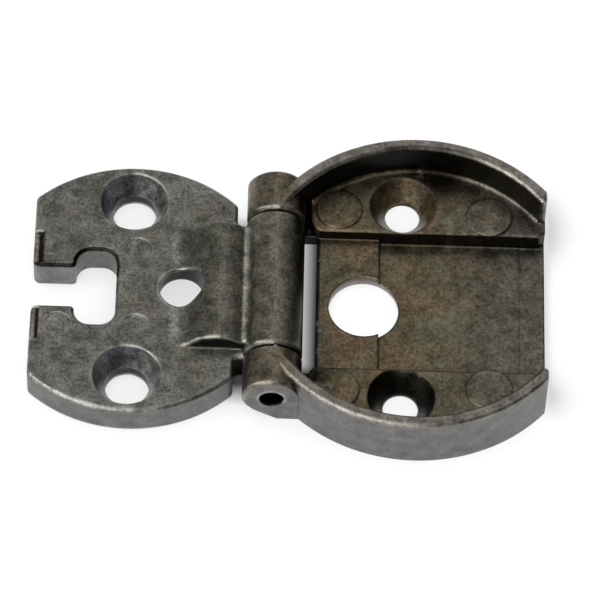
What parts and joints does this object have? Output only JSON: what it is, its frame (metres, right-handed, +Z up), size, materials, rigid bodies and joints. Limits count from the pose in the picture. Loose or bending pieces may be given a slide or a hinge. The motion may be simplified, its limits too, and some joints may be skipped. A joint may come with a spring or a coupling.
{
  "type": "furniture hinge",
  "caption": "Die-cast zinc furniture hinge: a round cup leaf for a drilled bore and a keyholed flat leaf that turns on a steel pin and folds over to nest in the cup.",
  "frame": {"origin": "centre of the cup leaf's circle, on its underside", "axes": "+X from the flat leaf to the cup leaf, +Y along the hinge pin, +Z up out of the open cup"},
  "size_m": [0.0526, 0.035, 0.0066],
  "materials": {
    "cast_zinc": "dull die-cast zinc, tarnished",
    "pin_steel": "bare steel"
  },
  "bodies": {
    "cup": {"cup_leaf": "cast_zinc", "hinge_pin": "pin_steel"},
    "leaf": {"flat_leaf": "cast_zinc"}
  },
  "joints": [
    {"name": "leaf_fold", "type": "hinge", "parent": "cup", "child": "leaf", "pos_m": [-0.0145, 0, 0.00365], "axis": [0, 1, 0], "range_deg": [0, 180]}
  ]
}
